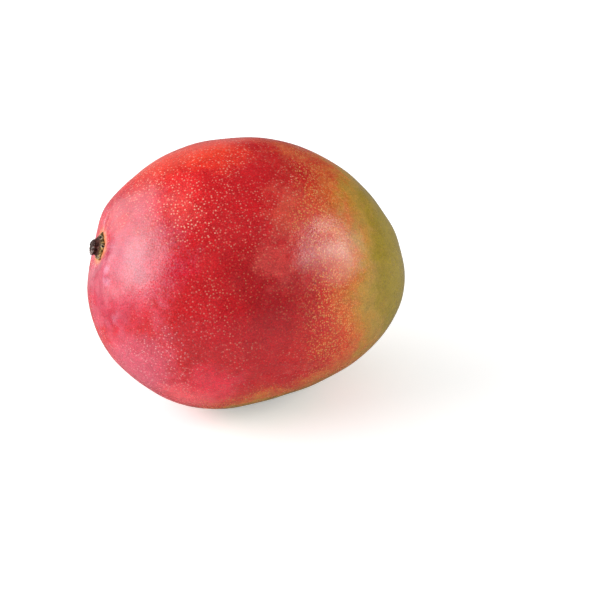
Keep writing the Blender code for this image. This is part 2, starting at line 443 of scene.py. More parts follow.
def stub_surface():
    """Points of the stub in the lying pose, with its marks: each point's share in pits and edges.

    The knob at the top sags by KNOB_DROP and is flatter, and the foot follows the skin under it.
    """
    radius, height = even_profile(STUB_PROFILE, STUB_RINGS + 2)
    radius, height = radius[1:-1, None], height[1:-1, None]
    turn = np.radians(np.arange(STUB_SIDES) * 360 / STUB_SIDES)[None, :]
    reach = stub_reach(turn, radius, height)
    on_knob = swell(height, 0.6 * MM, 2.4 * MM)
    up = reach * np.cos(turn) * (1 - KNOB_FLATTENING * on_knob) - KNOB_DROP * on_knob
    near = reach * np.sin(turn)
    on_cork = (1 - swell(height, *FOOT_TO_BARK)) * (height > -0.5 * MM)
    added, in_pit, on_edge = sap_pits(up, near, on_cork)
    follows_skin = 1 - swell(height, 0.6 * MM, 2.2 * MM)
    level = stub_level(turn, radius, height) + added + skin_height(up, near) * follows_skin
    spread = up[..., None] * seat_up + near[..., None] * seat_near + level[..., None] * seat_out
    poles = seat + np.outer(STUB_PROFILE[[0, -1], 1], seat_out)
    surface = np.vstack([poles[:1], (seat + spread).reshape(-1, 3), poles[1:]])
    return surface, {"pit": np.pad(in_pit.ravel(), 1), "pit_edge": np.pad(on_edge.ravel(), 1)}


stub_points, stub_marks = stub_surface()
stub = closed_mesh("mango_stem_stub", stub_points, STUB_RINGS, STUB_SIDES)
for mark, values in stub_marks.items():
    attribute = stub.data.attributes.new(mark, "FLOAT", "POINT")
    attribute.data.foreach_set("value", values.astype(np.float32))
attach(stub, "root")
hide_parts("stem_stub")

# %% [markdown]
# ## Small helpers for shader nodes
#
# A material is a graph of nodes. Written out in full, each node takes four or five lines, and
# the idea is lost among them. These helpers make a node, set its inputs and link it in one call.

# %% Helpers that add nodes


def add(tree, kind, inputs=None, **settings):
    """A node of this kind, with its settings, and each input set to a value or linked to a socket."""
    node = tree.nodes.new(kind)
    for name, value in settings.items():
        setattr(node, name, value)
    for name, value in (inputs or {}).items():
        if isinstance(value, bpy.types.NodeSocket):
            tree.links.new(value, node.inputs[name])
        else:
            node.inputs[name].default_value = value
    return node


def vector_maths(tree, operation, *values, output="Vector", **inputs):
    """A Vector Math node on these values, and on any input given by its name."""
    numbered = {**dict(enumerate(values)), **inputs}
    return add(tree, "ShaderNodeVectorMath", numbered, operation=operation).outputs[output]


def maths(tree, operation, *values):
    """A Math node on these values, each a number or a socket."""
    return add(tree, "ShaderNodeMath", dict(enumerate(values)), operation=operation).outputs["Value"]


def product(tree, *values):
    """All these values multiplied together."""
    result = values[0]
    for value in values[1:]:
        result = maths(tree, "MULTIPLY", result, value)
    return result


def mapped(tree, value, low, high, to_low=0.0, to_high=1.0):
    """The value eased from low..high to to_low..to_high, and held level outside."""
    inputs = {"Value": value, "From Min": low, "From Max": high, "To Min": to_low, "To Max": to_high}
    return add(tree, "ShaderNodeMapRange", inputs, interpolation_type="SMOOTHSTEP").outputs["Result"]


def mixed(tree, share, first, second):
    """Two colours mixed: sockets 6 and 7 of a Mix node are its colours, and 2 is the result."""
    return add(tree, "ShaderNodeMix", {0: share, 6: first, 7: second}, data_type="RGBA").outputs[2]


def cloud(tree, place, size, detail=2.0, distortion=0.0):
    """Noise from 0 to 1 whose blotches are about this size in metres."""
    inputs = {"Vector": place, "Scale": 1 / size, "Detail": detail, "Distortion": distortion}
    return add(tree, "ShaderNodeTexNoise", inputs).outputs["Fac"]


def ramp(tree, value, stops):
    """A colour ramp from (place, (red, green, blue)) stops."""
    node = add(tree, "ShaderNodeValToRGB", {"Fac": value})
    elements = node.color_ramp.elements
    while len(elements) < len(stops):
        elements.new(1)
    for element, (place, colour) in zip(elements, stops):
        element.position = place
        element.color = (*colour, 1)
    return node.outputs["Color"]


def new_group(name, inputs, outputs):
    """An empty shader group, its inner inputs and its inner outputs.

    Inputs are given as (name, starting value), where a value of three numbers makes a vector.
    """
    group = bpy.data.node_groups.new(name, "ShaderNodeTree")
    for title, value in inputs:
        kind = "NodeSocketVector" if np.size(value) == 3 else "NodeSocketFloat"
        made = group.interface.new_socket(title, in_out="INPUT", socket_type=kind)
        made.default_value = value
    for title in outputs:
        group.interface.new_socket(title, in_out="OUTPUT", socket_type="NodeSocketFloat")
    inner_inputs = group.nodes.new("NodeGroupInput").outputs
    return group, inner_inputs, group.nodes.new("NodeGroupOutput").inputs


# %% [markdown]
# ## A patch: where on the fruit a colour lies
#
# The colours of a mango are laid out by where the sun reached it and by how far the flesh has
# ripened. A patch is a soft-edged cap round one direction from the middle of the fruit: it is
# full inside one angle, gone outside another, and its edge wanders with a noise.

# %% The patch group
patch_group, inside, outside = new_group(
    "patch",
    [("Direction", (0, 0, 1)), ("Towards", (0, 0, 1)), ("Inner", 10), ("Outer", 30), ("Wander", 0)],
    ["Mask"],
)
cosine = vector_maths(
    patch_group, "DOT_PRODUCT", inside["Direction"], inside["Towards"], output="Value"
)
angle = maths(patch_group, "DEGREES", maths(patch_group, "ARCCOSINE", cosine))
wandered = maths(patch_group, "ADD", angle, inside["Wander"])
full_inside = mapped(patch_group, wandered, inside["Outer"], inside["Inner"])
patch_group.links.new(full_inside, outside["Mask"])


def patch(tree, direction, wander, spot, inner, outer):
    """Mask of a cap round the spot: 1 within the inner angle, 0 past the outer, or the reverse."""
    towards = own_direction(*spot).tolist()
    inputs = {"Direction": direction, "Towards": towards, "Inner": inner, "Outer": outer}
    inputs["Wander"] = wander
    return add(tree, "ShaderNodeGroup", inputs, node_tree=patch_group).outputs["Mask"]


print("patch group:", len(patch_group.nodes), "nodes")

# %% [markdown]
# ## Spots: the pores of the skin
#
# The skin is dotted with lenticels, pale corky pores half a millimetre across. A 3-D Voronoi
# texture scatters points through space, and the skin shows a dot wherever it passes close to
# one, so the dots come out in all sizes and never stretch, as they would on a flat map wrapped
# round the fruit. One group serves for pores of two sizes, gold flecks and dark specks.

# %% The spots group
SPOT_RANDOMNESS = 0.85
spots_group, inside, outside = new_group(
    "spots",
    [("Place", (0, 0, 0)), ("Per metre", 800), ("Radius", 0.2), ("Edge", 0.1)],
    ["Mask", "Chance"],
)
scattered = {
    "Vector": inside["Place"],
    "Scale": inside["Per metre"],
    "Randomness": SPOT_RANDOMNESS,
}
cells = add(spots_group, "ShaderNodeTexVoronoi", scattered).outputs
inner_edge = maths(spots_group, "SUBTRACT", inside["Radius"], inside["Edge"])
outer_edge = maths(spots_group, "ADD", inside["Radius"], inside["Edge"])
near_point = mapped(spots_group, cells["Distance"], outer_edge, inner_edge)
spots_group.links.new(near_point, outside["Mask"])
chance = add(spots_group, "ShaderNodeSeparateColor", {"Color": cells["Color"]}).outputs["Red"]
spots_group.links.new(chance, outside["Chance"])


def spots(tree, place, spacing, radius, edge):
    """Masks of spots of this radius, spacing and soft edge in metres, and a chance for each spot."""
    inputs = {
        "Place": place,
        "Per metre": 1 / spacing,
        "Radius": radius / spacing,
        "Edge": edge / spacing,
    }
    return add(tree, "ShaderNodeGroup", inputs, node_tree=spots_group).outputs


print("spots group:", len(spots_group.nodes), "nodes")

# %% [markdown]
# ## The colours of the skin
#
# First how green each place still is, from 0 where the blush is deepest to 1 at the tip and on
# the shaded underside. A ramp turns that into the ground colour. Patches of rose, crimson and
# orange are laid over the red part. Some of them are painted highlight, painted sheen and one
# painted shade. A painted map could do this too, but patches are a few numbers each, wrap round
# the fruit without a seam, and stay sharp from close by.

# %% Colours of the skin
GROUND_COLOURS = [
    (0.00, (0.590, 0.007, 0.011)),
    (0.14, (0.590, 0.020, 0.012)),
    (0.31, (0.660, 0.064, 0.016)),
    (0.51, (0.680, 0.142, 0.024)),
    (0.71, (0.520, 0.240, 0.026)),
    (0.86, (0.450, 0.264, 0.040)),
    (1.00, (0.320, 0.230, 0.008)),
]
# Middle of the patch, in degrees from the stem end and round the long axis from the back, then
# its inner and outer angle, for the red ones a colour, and its strength.
GREEN_PATCHES = {
    "tip": ((165, 90), 16, 82, 1.0),
    "underside": ((100, 190), 16, 50, 1.0),
    "shaded cheek": ((108, 262), 30, 82, 0.9),
    "back of the tip": ((140, 22), 6, 26, 0.5),
}
RED_PATCHES = {
    "rosy stem end": ((16, 66), 8, 32, (0.430, 0.018, 0.058), 0.95),
    # The next two are painted highlight: paler pink where the left window's reflection lies, and
    # where it ends below.
    "pale pink painted highlight": ((42, 62), 3, 11, (0.610, 0.070, 0.110), 0.40),
    "painted highlight below the cheek": ((33, 101), 3, 10, (0.740, 0.056, 0.086), 0.60),
    "scarlet cheek": ((45, 86), 3, 12, (0.680, 0.006, 0.030), 0.60),
    "rosy collar": ((38, 20), 6, 20, (0.440, 0.010, 0.032), 0.9),
    "red below the stem": ((19, 95), 4, 13, (0.540, 0.011, 0.032), 0.75),
    # The next three are painted sheen: a pale reflection of the white room along the skin's edge
    # round the stem end.
    "painted rim sheen behind the stem": ((17, 358), 8, 16, (0.560, 0.150, 0.200), 0.50),
    "painted rim sheen under the stem": ((8, 75), 3, 9, (0.520, 0.085, 0.120), 0.60),
    "painted rim sheen at the round end": ((8, 160), 3, 10, (0.560, 0.085, 0.125), 0.50),
    "rosy belly": ((34, 150), 6, 21, (0.620, 0.066, 0.100), 0.9),
    "lilac belly": ((34, 178), 5, 27, (0.650, 0.100, 0.155), 0.65),
    "dark belly": ((62, 114), 5, 19, (0.600, 0.002, 0.010), 0.85),
    "lower belly": ((60, 151), 5, 20, (0.860, 0.030, 0.060), 0.85),
    "pale belly": ((57, 165), 3, 16, (0.900, 0.094, 0.110), 0.8),
    # Partly the cheek's own deep crimson, partly painted shade where a cut mango half lay against it.
    "crimson cheek with painted shade": ((83, 98), 4, 33, (0.410, 0.005, 0.009), 0.9),
    "warm back": ((62, 8), 8, 30, (0.780, 0.052, 0.020), 0.8),
    "scarlet shoulder": ((58, 44), 4, 18, (0.760, 0.016, 0.018), 0.8),
    # The next two are painted highlight: the bluish-pink top and the faint upper tail of the left
    # window's reflection.
    "painted highlight on the shoulder": ((42, 41), 3, 12, (0.620, 0.050, 0.086), 0.5),
    "painted highlight tail on the shoulder": ((54, 51), 3, 11, (0.740, 0.056, 0.050), 0.55),
    "orange shoulder": ((79, 24), 3, 21, (0.900, 0.046, 0.016), 0.85),
    # The next two are painted sheen: the pale glow spreading round the right window's highlight.
    "painted sheen beside the right highlight": ((87, 86), 3, 14, (0.720, 0.066, 0.056), 0.7),
    "pale cheek with painted sheen round the right highlight": ((100, 64), 4, 18, (0.740, 0.095, 0.056), 0.65),
    "red veil": ((117, 58), 4, 15, (0.700, 0.074, 0.008), 0.7),
    # The next two lighten the skin as painted highlight where the right window's reflection lies; the
    # second is also gold skin.
    "painted highlight of the right window": ((111, 79), 2, 9, (0.860, 0.170, 0.050), 0.6),
    "gold and painted highlight below the shoulder": ((117, 85), 3, 11, (0.560, 0.170, 0.030), 0.6),
    "dark red back": ((106, 41), 3, 14, (0.540, 0.014, 0.010), 0.9),
    # Painted sheen: a pale reflection of the room along the upper edge.
    "painted rim sheen on the crest": ((97, 18), 2, 12, (0.740, 0.085, 0.050), 0.75),
    "tan back": ((113, 25), 3, 14, (0.740, 0.150, 0.045), 0.6),
}
# Streaks of painted lilac sheen, where soft folds of the skin catch the left window's light.
PAINTED_SHEEN_STREAKS = {
    "painted lilac sheen below the stem": ((15, 58), 0.4, 3.0, (0.560, 0.250, 0.360), 0.50),
    "painted lilac sheen further down": ((14, 74), 0.4, 2.8, (0.560, 0.250, 0.350), 0.50),
    "painted lilac sheen by the belly": ((18, 124), 0.5, 3.6, (0.600, 0.190, 0.270), 0.50),
}
# Middle of the patch, inner and outer angle, and how plain the pores are there.
CROWDED_PORES = [
    ((55, 52), 8, 24, 0.95),
    ((51, 25), 5, 16, 0.9),
    ((78, 28), 6, 26, 0.75),
    ((108, 48), 6, 22, 0.80),
    ((41, 146), 8, 27, 0.8),
]
# Middle, inner and outer angle of the other areas.
STEM = (STEM_TILT, STEM_TURN)
# The bloom is centred where the left window's highlight lies, and there its pale colour is partly
# painted sheen.
BLOOM_AND_SHEEN_AREA = ((33, 74), 9, 25)
RAYS_AREA = (STEM, 8, 32)
SILK_AREA = (STEM, 16, 44)
HALO_AREA = (STEM, 4.7, 8.7)
FEW_PORES_AREA = ((STEM_TILT, STEM_TURN + 70), 12, 28)
QUIET_AREA = ((82, 102), 8, 36)
ROSY_PORES_AREA = ((34, 130), 8, 42)
BEAK_SCAR = ((169, 150), 0.5, 1.5)
# Pale pink of the wax, also used as painted sheen and glints near the stem, and for the pale rays.
BLOOM_AND_SHEEN_PINK = (0.580, 0.210, 0.300, 1)
RAY_CRIMSON = (0.280, 0.010, 0.034, 1)
CREAM = (0.920, 0.480, 0.340, 1)
PORE_PINK = (0.920, 0.450, 0.440, 1)
FLECK_GOLD = (0.840, 0.400, 0.110, 1)
CORK_BROWN = (0.060, 0.020, 0.012, 1)
HALO_GOLD = (0.720, 0.270, 0.080, 1)
# Spacing, radius and soft edge of each kind of spot.
PORES = (1.1 * MM, 0.28 * MM, 0.10 * MM)
SMALL_DOTS = (0.8 * MM, 0.17 * MM, 0.10 * MM)
GOLD_FLECKS = (0.9 * MM, 0.26 * MM, 0.08 * MM)
DARK_SPECKS = (4.2 * MM, 0.28 * MM, 0.12 * MM)
# How strong the wax and the rays are, as a share of the colour. Near the stem the wax's pale grain is
# also painted sheen and glints of the highlight.
BLOOM_AND_GLINTS_NEAR_STEM = 0.22
BLOOM_AND_GLINTS_ELSEWHERE = 0.025
BLOOM_CLOUDS = 0.06
RAY_SHARE = 0.20
print(len(GREEN_PATCHES), "green and", len(RED_PATCHES), "red patches")

# %% How green the skin is, and patches laid over a colour


def greenness(tree, direction, wander):
    """1 minus the product of (1 - mask) over the green patches, so that overlaps never pass 1."""
    red_left = 1.0
    for spot, inner, outer, strength in GREEN_PATCHES.values():
        mask = product(tree, patch(tree, direction, wander, spot, inner, outer), strength)
        red_left = product(tree, maths(tree, "SUBTRACT", 1.0, mask), red_left)
    return maths(tree, "SUBTRACT", 1.0, red_left)


def with_patches(tree, colour, patches, direction, wander, fade):
    """The colour with each patch mixed over it in turn, in a share of mask x strength x fade."""
    for spot, inner, outer, tint, strength in patches.values():
        mask = patch(tree, direction, wander, spot, inner, outer)
        colour = mixed(tree, product(tree, mask, strength, fade), colour, (*tint, 1))
    return colour


# %% [markdown]
# ## Fine rays round the stem
#
# From the stem run fine pale and dark rays, where the skin stretched as the fruit swelled. Noise
# read at the bearing from the stem, and hardly at all along it, comes out as rays.

# %% Rays round the stem
side = seat_near if np.linalg.det([seat_up, seat_near, seat_out]) > 0 else -seat_near
seat_turn = Matrix(np.column_stack([seat_up, side, seat_out]).tolist())
RAY_COUNT = 18
RAY_LENGTH = 14 * MM


def seat_place(tree, here):
    """The point in the stem's own frame: x up the skin, y across it, z out of the skin."""
    own = {"Vector": here, "Location": seat, "Rotation": seat_turn.to_euler()}
    return add(tree, "ShaderNodeMapping", own, vector_type="TEXTURE").outputs["Vector"]


def stem_rays(tree, here):
    """Noise read at (RAY_COUNT times the unit bearing from the stem, reach / RAY_LENGTH)."""
    flat = vector_maths(tree, "MULTIPLY", seat_place(tree, here), (1, 1, 0))
    bearing = vector_maths(tree, "NORMALIZE", flat)
    spread = vector_maths(tree, "SCALE", bearing, Scale=RAY_COUNT)
    reach = vector_maths(tree, "LENGTH", flat, output="Value")
    lengthwise = maths(tree, "DIVIDE", reach, RAY_LENGTH)
    along = add(tree, "ShaderNodeCombineXYZ", {"Z": lengthwise}).outputs["Vector"]
    return cloud(tree, vector_maths(tree, "ADD", spread, along), 1.0, 3)


print("stem's axes are right-handed:", bool(np.linalg.det([seat_up, side, seat_out]) > 0))

# %% [markdown]
# ## The layers of the skin
#
# The skin is built up as a painter would do it. First the places, directions and masks that all
# layers share, then one function for each layer: the blush over the ground colour, with painted
# highlight, sheen and shade among its patches, a bloom of wax near the stem that also carries
# painted glints and sheen, mottling, pores, and marks. One long graph would look the same, but a
# layer with a name can be tried and changed alone.

# %% What the layers share


def skin_map(tree):
    """Sockets that the layers share.

    here is the point, place is the point in the fruit's own frame, and direction its direction.
    wander is what makes the edges of patches uneven, in degrees. green is 0 on red skin and 1 on
    green, and turning is 1 where red is turning to green.
    """
    here = add(tree, "ShaderNodeTexCoord").outputs["Object"]
    own = {"Vector": here, "Location": fruit_middle, "Rotation": lying_turn.to_euler()}
    place = add(tree, "ShaderNodeMapping", own, vector_type="TEXTURE").outputs["Vector"]
    direction = vector_maths(tree, "NORMALIZE", place)
    broad = mapped(tree, cloud(tree, place, 16 * MM, 3), 0.3, 0.7, -4, 4)
    fine = mapped(tree, cloud(tree, place, 3.5 * MM, 3), 0.3, 0.7, -2.5, 2.5)
    wander = maths(tree, "ADD", broad, fine)
    green = greenness(tree, direction, wander)
    turning = product(tree, mapped(tree, green, 0.04, 0.30), mapped(tree, green, 0.95, 0.55))
    return SimpleNamespace(
        here=here,
        place=place,
        direction=direction,
        fine_wander=fine,
        wander=wander,
        green=green,
        turning=turning,
    )


def area(tree, skin, spot, inner, outer):
    """Mask of a patch whose edge wanders as the colours' edges do."""
    return patch(tree, skin.direction, skin.wander, spot, inner, outer)


# %% Blush, gold flecks and painted sheen streaks


def blushed(tree, skin):
    """Ground colour by greenness, red patches where it is red, some of them painted highlight, sheen
    and shade, gold flecks where it is turning, then streaks of painted sheen.
    """
    ripeness = maths(tree, "SUBTRACT", skin.green, product(tree, skin.turning, 0.10))
    colour = ramp(tree, ripeness, GROUND_COLOURS)
    red = mapped(tree, skin.green, 0.55, 0.10)
    colour = with_patches(tree, colour, RED_PATCHES, skin.direction, skin.wander, red)
    flecks = spots(tree, skin.place, *GOLD_FLECKS)
    fleck_share = product(tree, skin.turning, flecks["Mask"], 0.85)
    colour = mixed(tree, fleck_share, colour, FLECK_GOLD)
    narrow_wander = product(tree, skin.fine_wander, 0.4)
    return with_patches(tree, colour, PAINTED_SHEEN_STREAKS, skin.direction, narrow_wander, 1.0)


# %% Bloom with painted glints, rays and mottling


def bloomed(tree, skin, colour, rays):
    """Powdery wax, thick near the stem and thin elsewhere, its pale grain also painted glints and
    sheen of the highlight, then pale and dark rays.
    """
    near_stem = area(tree, skin, *BLOOM_AND_SHEEN_AREA)
    clouds = mapped(tree, cloud(tree, skin.place, 9 * MM, 4, 0.8), 0.40, 0.66)
    # Fine pale grain: powder of wax, and painted glints that stand in for the highlight's sparkle.
    powder_and_glints = mapped(tree, cloud(tree, skin.place, 0.55 * MM, 1), 0.42, 0.60)
    dust_and_glint_share = maths(tree, "ADD", product(tree, near_stem, BLOOM_AND_GLINTS_NEAR_STEM), BLOOM_AND_GLINTS_ELSEWHERE)
    cloudy = product(tree, near_stem, clouds, BLOOM_CLOUDS)
    wax_and_glints = maths(tree, "ADD", product(tree, dust_and_glint_share, powder_and_glints), cloudy)
    colour = mixed(tree, wax_and_glints, colour, BLOOM_AND_SHEEN_PINK)
    round_stem = area(tree, skin, *RAYS_AREA)
    pale = product(tree, mapped(tree, rays, 0.52, 0.68), round_stem, RAY_SHARE)
    colour = mixed(tree, pale, colour, BLOOM_AND_SHEEN_PINK)
    dark = product(tree, mapped(tree, rays, 0.48, 0.34), round_stem, RAY_SHARE)
    return mixed(tree, dark, colour, RAY_CRIMSON)


def mottled(tree, skin, colour):
    """Lighter and darker by 7% in blotches of 6 mm, and by 20% in grains of half a millimetre."""
    mottle = mapped(tree, cloud(tree, skin.place, 6 * MM, 4, 0.6), 0.3, 0.7, 0.93, 1.07)
    grain = mapped(tree, cloud(tree, skin.place, 0.5 * MM, 1), 0.3, 0.7, 0.80, 1.20)
    shade = {"Value": product(tree, mottle, grain), "Color": colour}
    return add(tree, "ShaderNodeHueSaturation", shade).outputs["Color"]


# %% Pores


def pore_density(tree, skin, quiet):
    """How plain the pores are: uneven in clouds, less on the quiet cheek, more where crowded."""
    crowded = mapped(tree, cloud(tree, skin.place, 14 * MM), 0.35, 0.6, 0.20, 0.50)
    crowded = maths(tree, "MULTIPLY", crowded, mapped(tree, quiet, 0.0, 1.0, 1.0, 0.55))
    for spot, inner, outer, strength in CROWDED_PORES:
        mask = product(tree, area(tree, skin, spot, inner, outer), strength)
        crowded = maths(tree, "MAXIMUM", crowded, mask)
    return crowded


def pored(tree, skin, colour):
    """The colour with pores and smaller dots, and the pores' mask for roughness and bump."""
    quiet = area(tree, skin, *QUIET_AREA)
    crowded = pore_density(tree, skin, quiet)
    middle, inner, outer = FEW_PORES_AREA
    off_stem = area(tree, skin, middle, outer, inner)
    on_red = mapped(tree, skin.green, 0.9, 0.4, 0.25, 1.0)
    pores = spots(tree, skin.place, *PORES)
    plainness = maths(tree, "POWER", pores["Chance"], 0.5)
    pore_share = product(tree, pores["Mask"], plainness, crowded, off_stem, on_red)
    dots = spots(tree, skin.place, *SMALL_DOTS)
    dot_share = product(tree, dots["Mask"], dots["Chance"], crowded, on_red, 0.4)
    pore_colour = mixed(tree, area(tree, skin, *ROSY_PORES_AREA), CREAM, PORE_PINK)
    golden = maths(tree, "MAXIMUM", product(tree, skin.turning, 0.8), product(tree, quiet, 0.65))
    pore_colour = mixed(tree, golden, pore_colour, FLECK_GOLD)
    shown = maths(tree, "MAXIMUM", pore_share, dot_share)
    return mixed(tree, shown, colour, pore_colour), pore_share


# %% Dark specks, the ring round the stem and the scar on the beak


def marked(tree, skin, colour):
    """The colour with specks, the golden ring and the brown scar, and the scar's mask."""
    specks = spots(tree, skin.place, *DARK_SPECKS)
    some = mapped(tree, specks["Chance"], 0.55, 0.75, 0.0, 0.7)
    colour = mixed(tree, product(tree, specks["Mask"], some), colour, CORK_BROWN)
    ring = patch(tree, skin.direction, product(tree, skin.wander, 0.15), *HALO_AREA)
    colour = mixed(tree, product(tree, ring, 0.9), colour, HALO_GOLD)
    scar = patch(tree, skin.direction, product(tree, skin.wander, 0.08), *BEAK_SCAR)
    return mixed(tree, product(tree, scar, 0.7), colour, CORK_BROWN), scar


# %% Finish and peel of the skin
# Roughness where the wax is whole, where it is worn, and what a pore adds.
WAXED = 0.22
WORN = 0.31
PORE_ROUGHNESS = 0.2
SKIN_SPECULAR = 0.6
# Heights of the bump in millimetres.
PEEL_HEIGHT = 0.040
PEBBLE_HEIGHT = 0.065
PORE_HEIGHT = 0.012
SILK_HEIGHT = 0.07
SCAR_DEPTH = 0.4


def peel_height(tree, skin, rays, pore_share, scar):
    """Height in mm: peel and pebbling, plus raised pores and silky rays, less the scar's dent."""
    peel = product(tree, cloud(tree, skin.place, 1.9 * MM, 2), PEEL_HEIGHT)
    pebble = product(tree, cloud(tree, skin.place, 0.7 * MM, 2), PEBBLE_HEIGHT)
    silk = product(tree, rays, area(tree, skin, *SILK_AREA), SILK_HEIGHT)
    raised = maths(tree, "ADD", product(tree, pore_share, PORE_HEIGHT), silk)
    raised = maths(tree, "SUBTRACT", raised, product(tree, scar, SCAR_DEPTH))
    return maths(tree, "ADD", maths(tree, "ADD", peel, pebble), raised)


def bumped(tree, height):
    """The normal tilted by this height, in millimetres."""
    bump = {"Height": height, "Distance": 1 * MM, "Strength": 1.0}
    return add(tree, "ShaderNodeBump", bump).outputs["Normal"]


def skin_material():
    """Waxy skin: the layers feed the colour, worn wax the roughness, and the peel a bump."""
    made = bpy.data.materials.new("mango_skin")
    made.use_nodes = True
    tree = made.node_tree
    shader = tree.nodes["Principled BSDF"].inputs
    skin = skin_map(tree)
    rays = stem_rays(tree, skin.here)
    colour = blushed(tree, skin)
    colour = bloomed(tree, skin, colour, rays)
    colour = mottled(tree, skin, colour)
    colour, pore_share = pored(tree, skin, colour)
    colour, scar = marked(tree, skin, colour)
    tree.links.new(colour, shader["Base Color"])
    worn = mapped(tree, cloud(tree, skin.place, 9 * MM, 4), 0.3, 0.7, WAXED, WORN)
    rough = maths(tree, "ADD", worn, product(tree, pore_share, PORE_ROUGHNESS))
    tree.links.new(rough, shader["Roughness"])
    height = peel_height(tree, skin, rays, pore_share, scar)
    tree.links.new(bumped(tree, height), shader["Normal"])
    shader["Specular IOR Level"].default_value = SKIN_SPECULAR
    return made


fruit.data.materials.append(skin_material())
print("skin nodes:", len(fruit.data.materials[0].node_tree.nodes))

# %% [markdown]
# ## The bark of the stub
#
# The barrel is dark red-brown bark with paler ridges, the foot is olive cork, and the pits are
# nearly black with dried sap. Three materials could meet at fixed lines, but one material with
# masks lets them grow into each other. Height above the seat tells the foot from the barrel,
# and attributes left by the mesh tell where the pits and their edges are. A noise drawn out
# along the stem makes streaks in the bark, and feeds roughness and bump too, so they agree.

# %% Colours of the stub
BARK_COLOURS = [
    (0.32, (0.008, 0.003, 0.003)),
    (0.48, (0.040, 0.010, 0.008)),
    (0.62, (0.130, 0.032, 0.024)),
    (0.76, (0.340, 0.260, 0.220)),
]
CORK_COLOURS = [
    (0.34, (0.016, 0.008, 0.004)),
    (0.48, (0.075, 0.042, 0.010)),
    (0.60, (0.210, 0.130, 0.034)),
    (0.72, (0.480, 0.340, 0.130)),
]
PITH_COLOURS = [
    (0.35, (0.010, 0.005, 0.005)),
    (0.58, (0.060, 0.026, 0.022)),
    (0.75, (0.240, 0.190, 0.170)),
]
FOOT_GOLD = (0.560, 0.360, 0.120, 1)
RIM_GREY = (0.460, 0.400, 0.370, 1)
PIT_EDGE_CREAM = (0.620, 0.500, 0.360, 1)
DRIED_SAP = (0.010, 0.004, 0.004, 1)
print("stub colours:", len(BARK_COLOURS), "of bark,", len(CORK_COLOURS), "of cork")

# %% The bark's layers
# Heights of the bump in millimetres, and roughness from the darkest streak to the palest.
STREAK_HEIGHT = 0.12
CRUMB_HEIGHT = 0.10
BARK_SMOOTHEST = 0.65
BARK_ROUGHEST = 0.9
BARK_SPECULAR = 0.2


def stub_colour(tree, place, streaks, crumbs):
    """Cork on the foot, bark on the barrel, pith on the broken end, a grey rim, and the pits."""
    out = add(tree, "ShaderNodeSeparateXYZ", {"Vector": place}).outputs["Z"]
    flat = vector_maths(tree, "MULTIPLY", place, (1, 1, 0))
    reach = vector_maths(tree, "LENGTH", flat, output="Value")
    chunks = cloud(tree, place, 0.9 * MM, 2)
    lumps = maths(tree, "ADD", product(tree, crumbs, 0.5), product(tree, chunks, 0.5))
    cork = ramp(tree, lumps, CORK_COLOURS)
    at_edge = mapped(tree, reach, 3.9 * MM, 5.0 * MM)
    gold = product(tree, at_edge, mapped(tree, chunks, 0.42, 0.62), 0.8)
    cork = mixed(tree, gold, cork, FOOT_GOLD)
    ragged = maths(tree, "ADD", out, product(tree, crumbs, 0.6 * MM))
    barrel = mapped(tree, ragged, 0.9 * MM, 1.6 * MM)
    colour = mixed(tree, barrel, cork, ramp(tree, streaks, BARK_COLOURS))
    inner = mapped(tree, reach, 2.6 * MM, 2.1 * MM)
    broken_end = product(tree, inner, mapped(tree, out, 2.0 * MM, 2.5 * MM))
    colour = mixed(tree, broken_end, colour, ramp(tree, crumbs, PITH_COLOURS))
    outer = mapped(tree, reach, 2.0 * MM, 2.5 * MM)
    rim = product(tree, outer, mapped(tree, out, 2.3 * MM, 2.8 * MM))
    worn = product(tree, rim, mapped(tree, chunks, 0.47, 0.60), 0.55)
    colour = mixed(tree, worn, colour, RIM_GREY)
    pit_edge = add(tree, "ShaderNodeAttribute", attribute_name="pit_edge").outputs["Fac"]
    pale = mapped(tree, crumbs, 0.42, 0.60, 0.1, 0.8)
    pale = product(tree, mapped(tree, pit_edge, 0.4, 0.9), pale)
    colour = mixed(tree, pale, colour, PIT_EDGE_CREAM)
    pit = add(tree, "ShaderNodeAttribute", attribute_name="pit").outputs["Fac"]
    return mixed(tree, mapped(tree, pit, 0.15, 0.5), colour, DRIED_SAP)


def bark_material():
    """Rough bark: the colours above, with the same streaks and crumbs in roughness and bump."""
    made = bpy.data.materials.new("stem_bark")
    made.use_nodes = True
    tree = made.node_tree
    shader = tree.nodes["Principled BSDF"].inputs
    place = seat_place(tree, add(tree, "ShaderNodeTexCoord").outputs["Object"])
    drawn_out = vector_maths(tree, "MULTIPLY", place, (1, 1, 0.3))
    streaks = cloud(tree, drawn_out, 0.5 * MM, 4)
    crumbs = cloud(tree, place, 0.35 * MM, 3)
    tree.links.new(stub_colour(tree, place, streaks, crumbs), shader["Base Color"])
    rough = mapped(tree, streaks, 0.3, 0.7, BARK_SMOOTHEST, BARK_ROUGHEST)
    tree.links.new(rough, shader["Roughness"])
    streak_height = product(tree, streaks, STREAK_HEIGHT)
    height = maths(tree, "ADD", streak_height, product(tree, crumbs, CRUMB_HEIGHT))
    tree.links.new(bumped(tree, height), shader["Normal"])
    shader["Specular IOR Level"].default_value = BARK_SPECULAR
    return made


stub.data.materials.append(bark_material())
print("bark nodes:", len(stub.data.materials[0].node_tree.nodes))

# %% [markdown]
# ## The camera
#
# The camera stands 30 degrees above the table and looks at the stem end and one cheek, from
# 0.6 m through a long lens, so that near and far parts keep their proportions. It aims to the
# right of the fruit's middle and a little below it, so the fruit is rendered left of the middle.

# %% Camera
CAMERA_AZIMUTH = -19
CAMERA_ELEVATION = 30
CAMERA_DISTANCE = 0.6
LENS = 94.9
SENSOR_WIDTH = 36
AIM_RIGHT = 22.1 * MM
AIM_UP = -7.9 * MM


